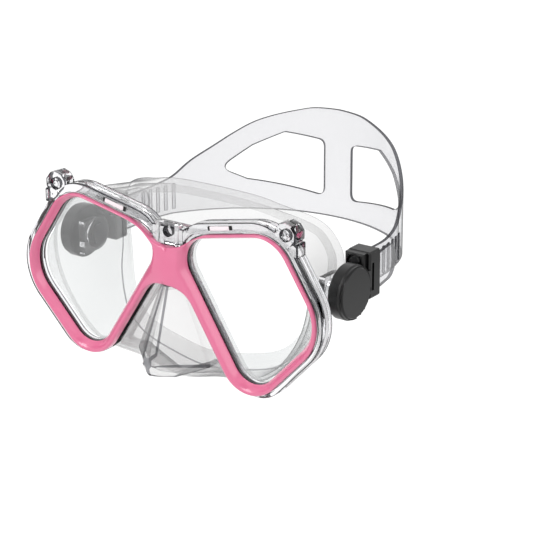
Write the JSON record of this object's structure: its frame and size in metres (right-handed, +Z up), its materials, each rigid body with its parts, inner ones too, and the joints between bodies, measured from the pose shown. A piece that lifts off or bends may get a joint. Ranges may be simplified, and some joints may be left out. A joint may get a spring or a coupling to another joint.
{
  "type": "snorkel mask",
  "caption": "Twin-lens snorkelling mask with a clear frame, pink front bezel, clear silicone skirt and split strap on swivel buckles.",
  "frame": {"origin": "middle of the face seal at eye height, midway between the two sides", "axes": "+Y points back into the wearer's head, -Y forwards out of the lenses, +X to the wearer's left, +Z up"},
  "size_m": [0.1654, 0.1536, 0.0972],
  "materials": {
    "clear_plastic": "clear polycarbonate",
    "pink_plastic": "gloss",
    "lens_glass": "polished tempered glass",
    "skirt_silicone": "clear silicone",
    "strap_silicone": "clear silicone",
    "black_plastic": "satin",
    "steel": "brushed"
  },
  "bodies": {
    "mask": {"frame": "clear_plastic", "front_bezel": "pink_plastic", "lens_left": "lens_glass", "lens_right": "lens_glass", "skirt": "skirt_silicone", "pivot_post_left": "steel", "pivot_post_right": "steel", "retaining_clip_left": "steel", "retaining_clip_right": "steel"},
    "strap": {"strap": "strap_silicone"},
    "buckle_left": {"buckle_body_left": "black_plastic", "face_cap_left": "black_plastic", "roller_pin_left": "steel"},
    "roller_left": {"strap_roller_left": "black_plastic"},
    "button_left": {"release_button_left": "black_plastic"},
    "buckle_right": {"buckle_body_right": "black_plastic", "face_cap_right": "black_plastic", "roller_pin_right": "steel"},
    "roller_right": {"strap_roller_right": "black_plastic"},
    "button_right": {"release_button_right": "black_plastic"}
  },
  "joints": [
    {"name": "strap_swing", "type": "hinge", "parent": "mask", "child": "strap", "pos_m": [0, -0.011, -0.008], "axis": [1, 0, 0], "range_deg": [-60, 75]},
    {"name": "buckle_left_swivel", "type": "hinge", "parent": "mask", "child": "buckle_left", "pos_m": [0.0711, -0.011, -0.008], "axis": [1, 0, 0], "range_deg": [-60, 75]},
    {"name": "roller_left_spin", "type": "hinge", "parent": "buckle_left", "child": "roller_left", "pos_m": [0.0711, 0.008, -0.005], "axis": [0, 0, 1], "continuous": true},
    {"name": "button_left_press", "type": "slide", "parent": "buckle_left", "child": "button_left", "axis": [0, 1, 0], "range_m": [0, 0.0015], "stiffness_N_per_m": 400, "springref_m": -0.001},
    {"name": "buckle_right_swivel", "type": "hinge", "parent": "mask", "child": "buckle_right", "pos_m": [-0.0711, -0.011, -0.008], "axis": [1, 0, 0], "range_deg": [-60, 75]},
    {"name": "roller_right_spin", "type": "hinge", "parent": "buckle_right", "child": "roller_right", "pos_m": [-0.0711, 0.008, -0.005], "axis": [0, 0, 1], "continuous": true},
    {"name": "button_right_press", "type": "slide", "parent": "buckle_right", "child": "button_right", "axis": [0, 1, 0], "range_m": [0, 0.0015], "stiffness_N_per_m": 400, "springref_m": -0.001}
  ],
  "couplings": [
    {"joint": "buckle_left_swivel", "follows": "strap_swing", "ratio": 1},
    {"joint": "buckle_right_swivel", "follows": "strap_swing", "ratio": 1}
  ]
}
